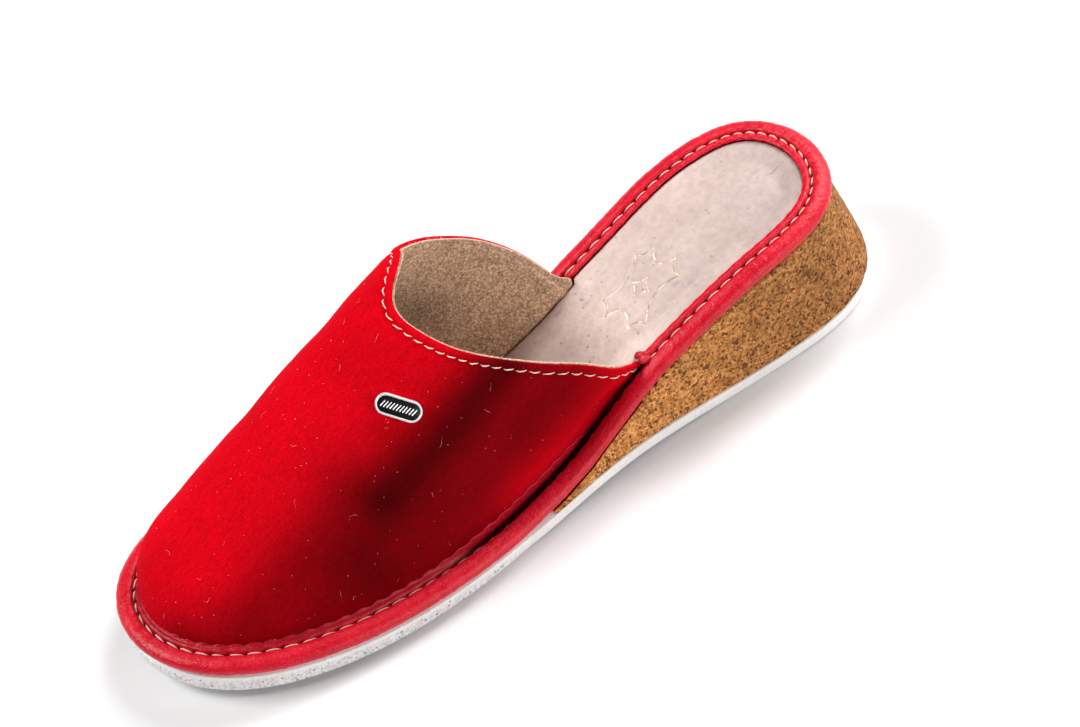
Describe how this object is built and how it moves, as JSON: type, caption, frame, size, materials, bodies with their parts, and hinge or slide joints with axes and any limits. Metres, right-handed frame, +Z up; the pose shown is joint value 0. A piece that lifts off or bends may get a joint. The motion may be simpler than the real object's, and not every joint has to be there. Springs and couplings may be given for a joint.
{
  "type": "wedge mule slipper",
  "caption": "Left-foot closed-toe backless slipper: suede vamp on a stitched leather rand, padded footbed, flared cork wedge heel and foam outsole.",
  "frame": {"origin": "centre of the bounding box in plan, on the floor under the outsole", "axes": "+X towards the toe, +Y towards the outer (lateral) side of the left foot, +Z up"},
  "size_m": [0.2641, 0.0856, 0.0864],
  "materials": {
    "foam": "matte pale foam with fine grey specks",
    "cork": "matte cork composite, sanded",
    "rand_leather": "fine grained leather, satin",
    "pigskin": "pale pigskin, matte, with pores",
    "suede": "napped suede, matte",
    "badge_steel": "polished",
    "badge_black": "gloss black inlay"
  },
  "bodies": {
    "root": {"outsole": "foam", "wedge": "cork", "rand": "rand_leather", "insole": "pigskin", "upper": "suede", "badge_plate": "badge_steel", "badge_inlay": "badge_black"}
  },
  "joints": []
}
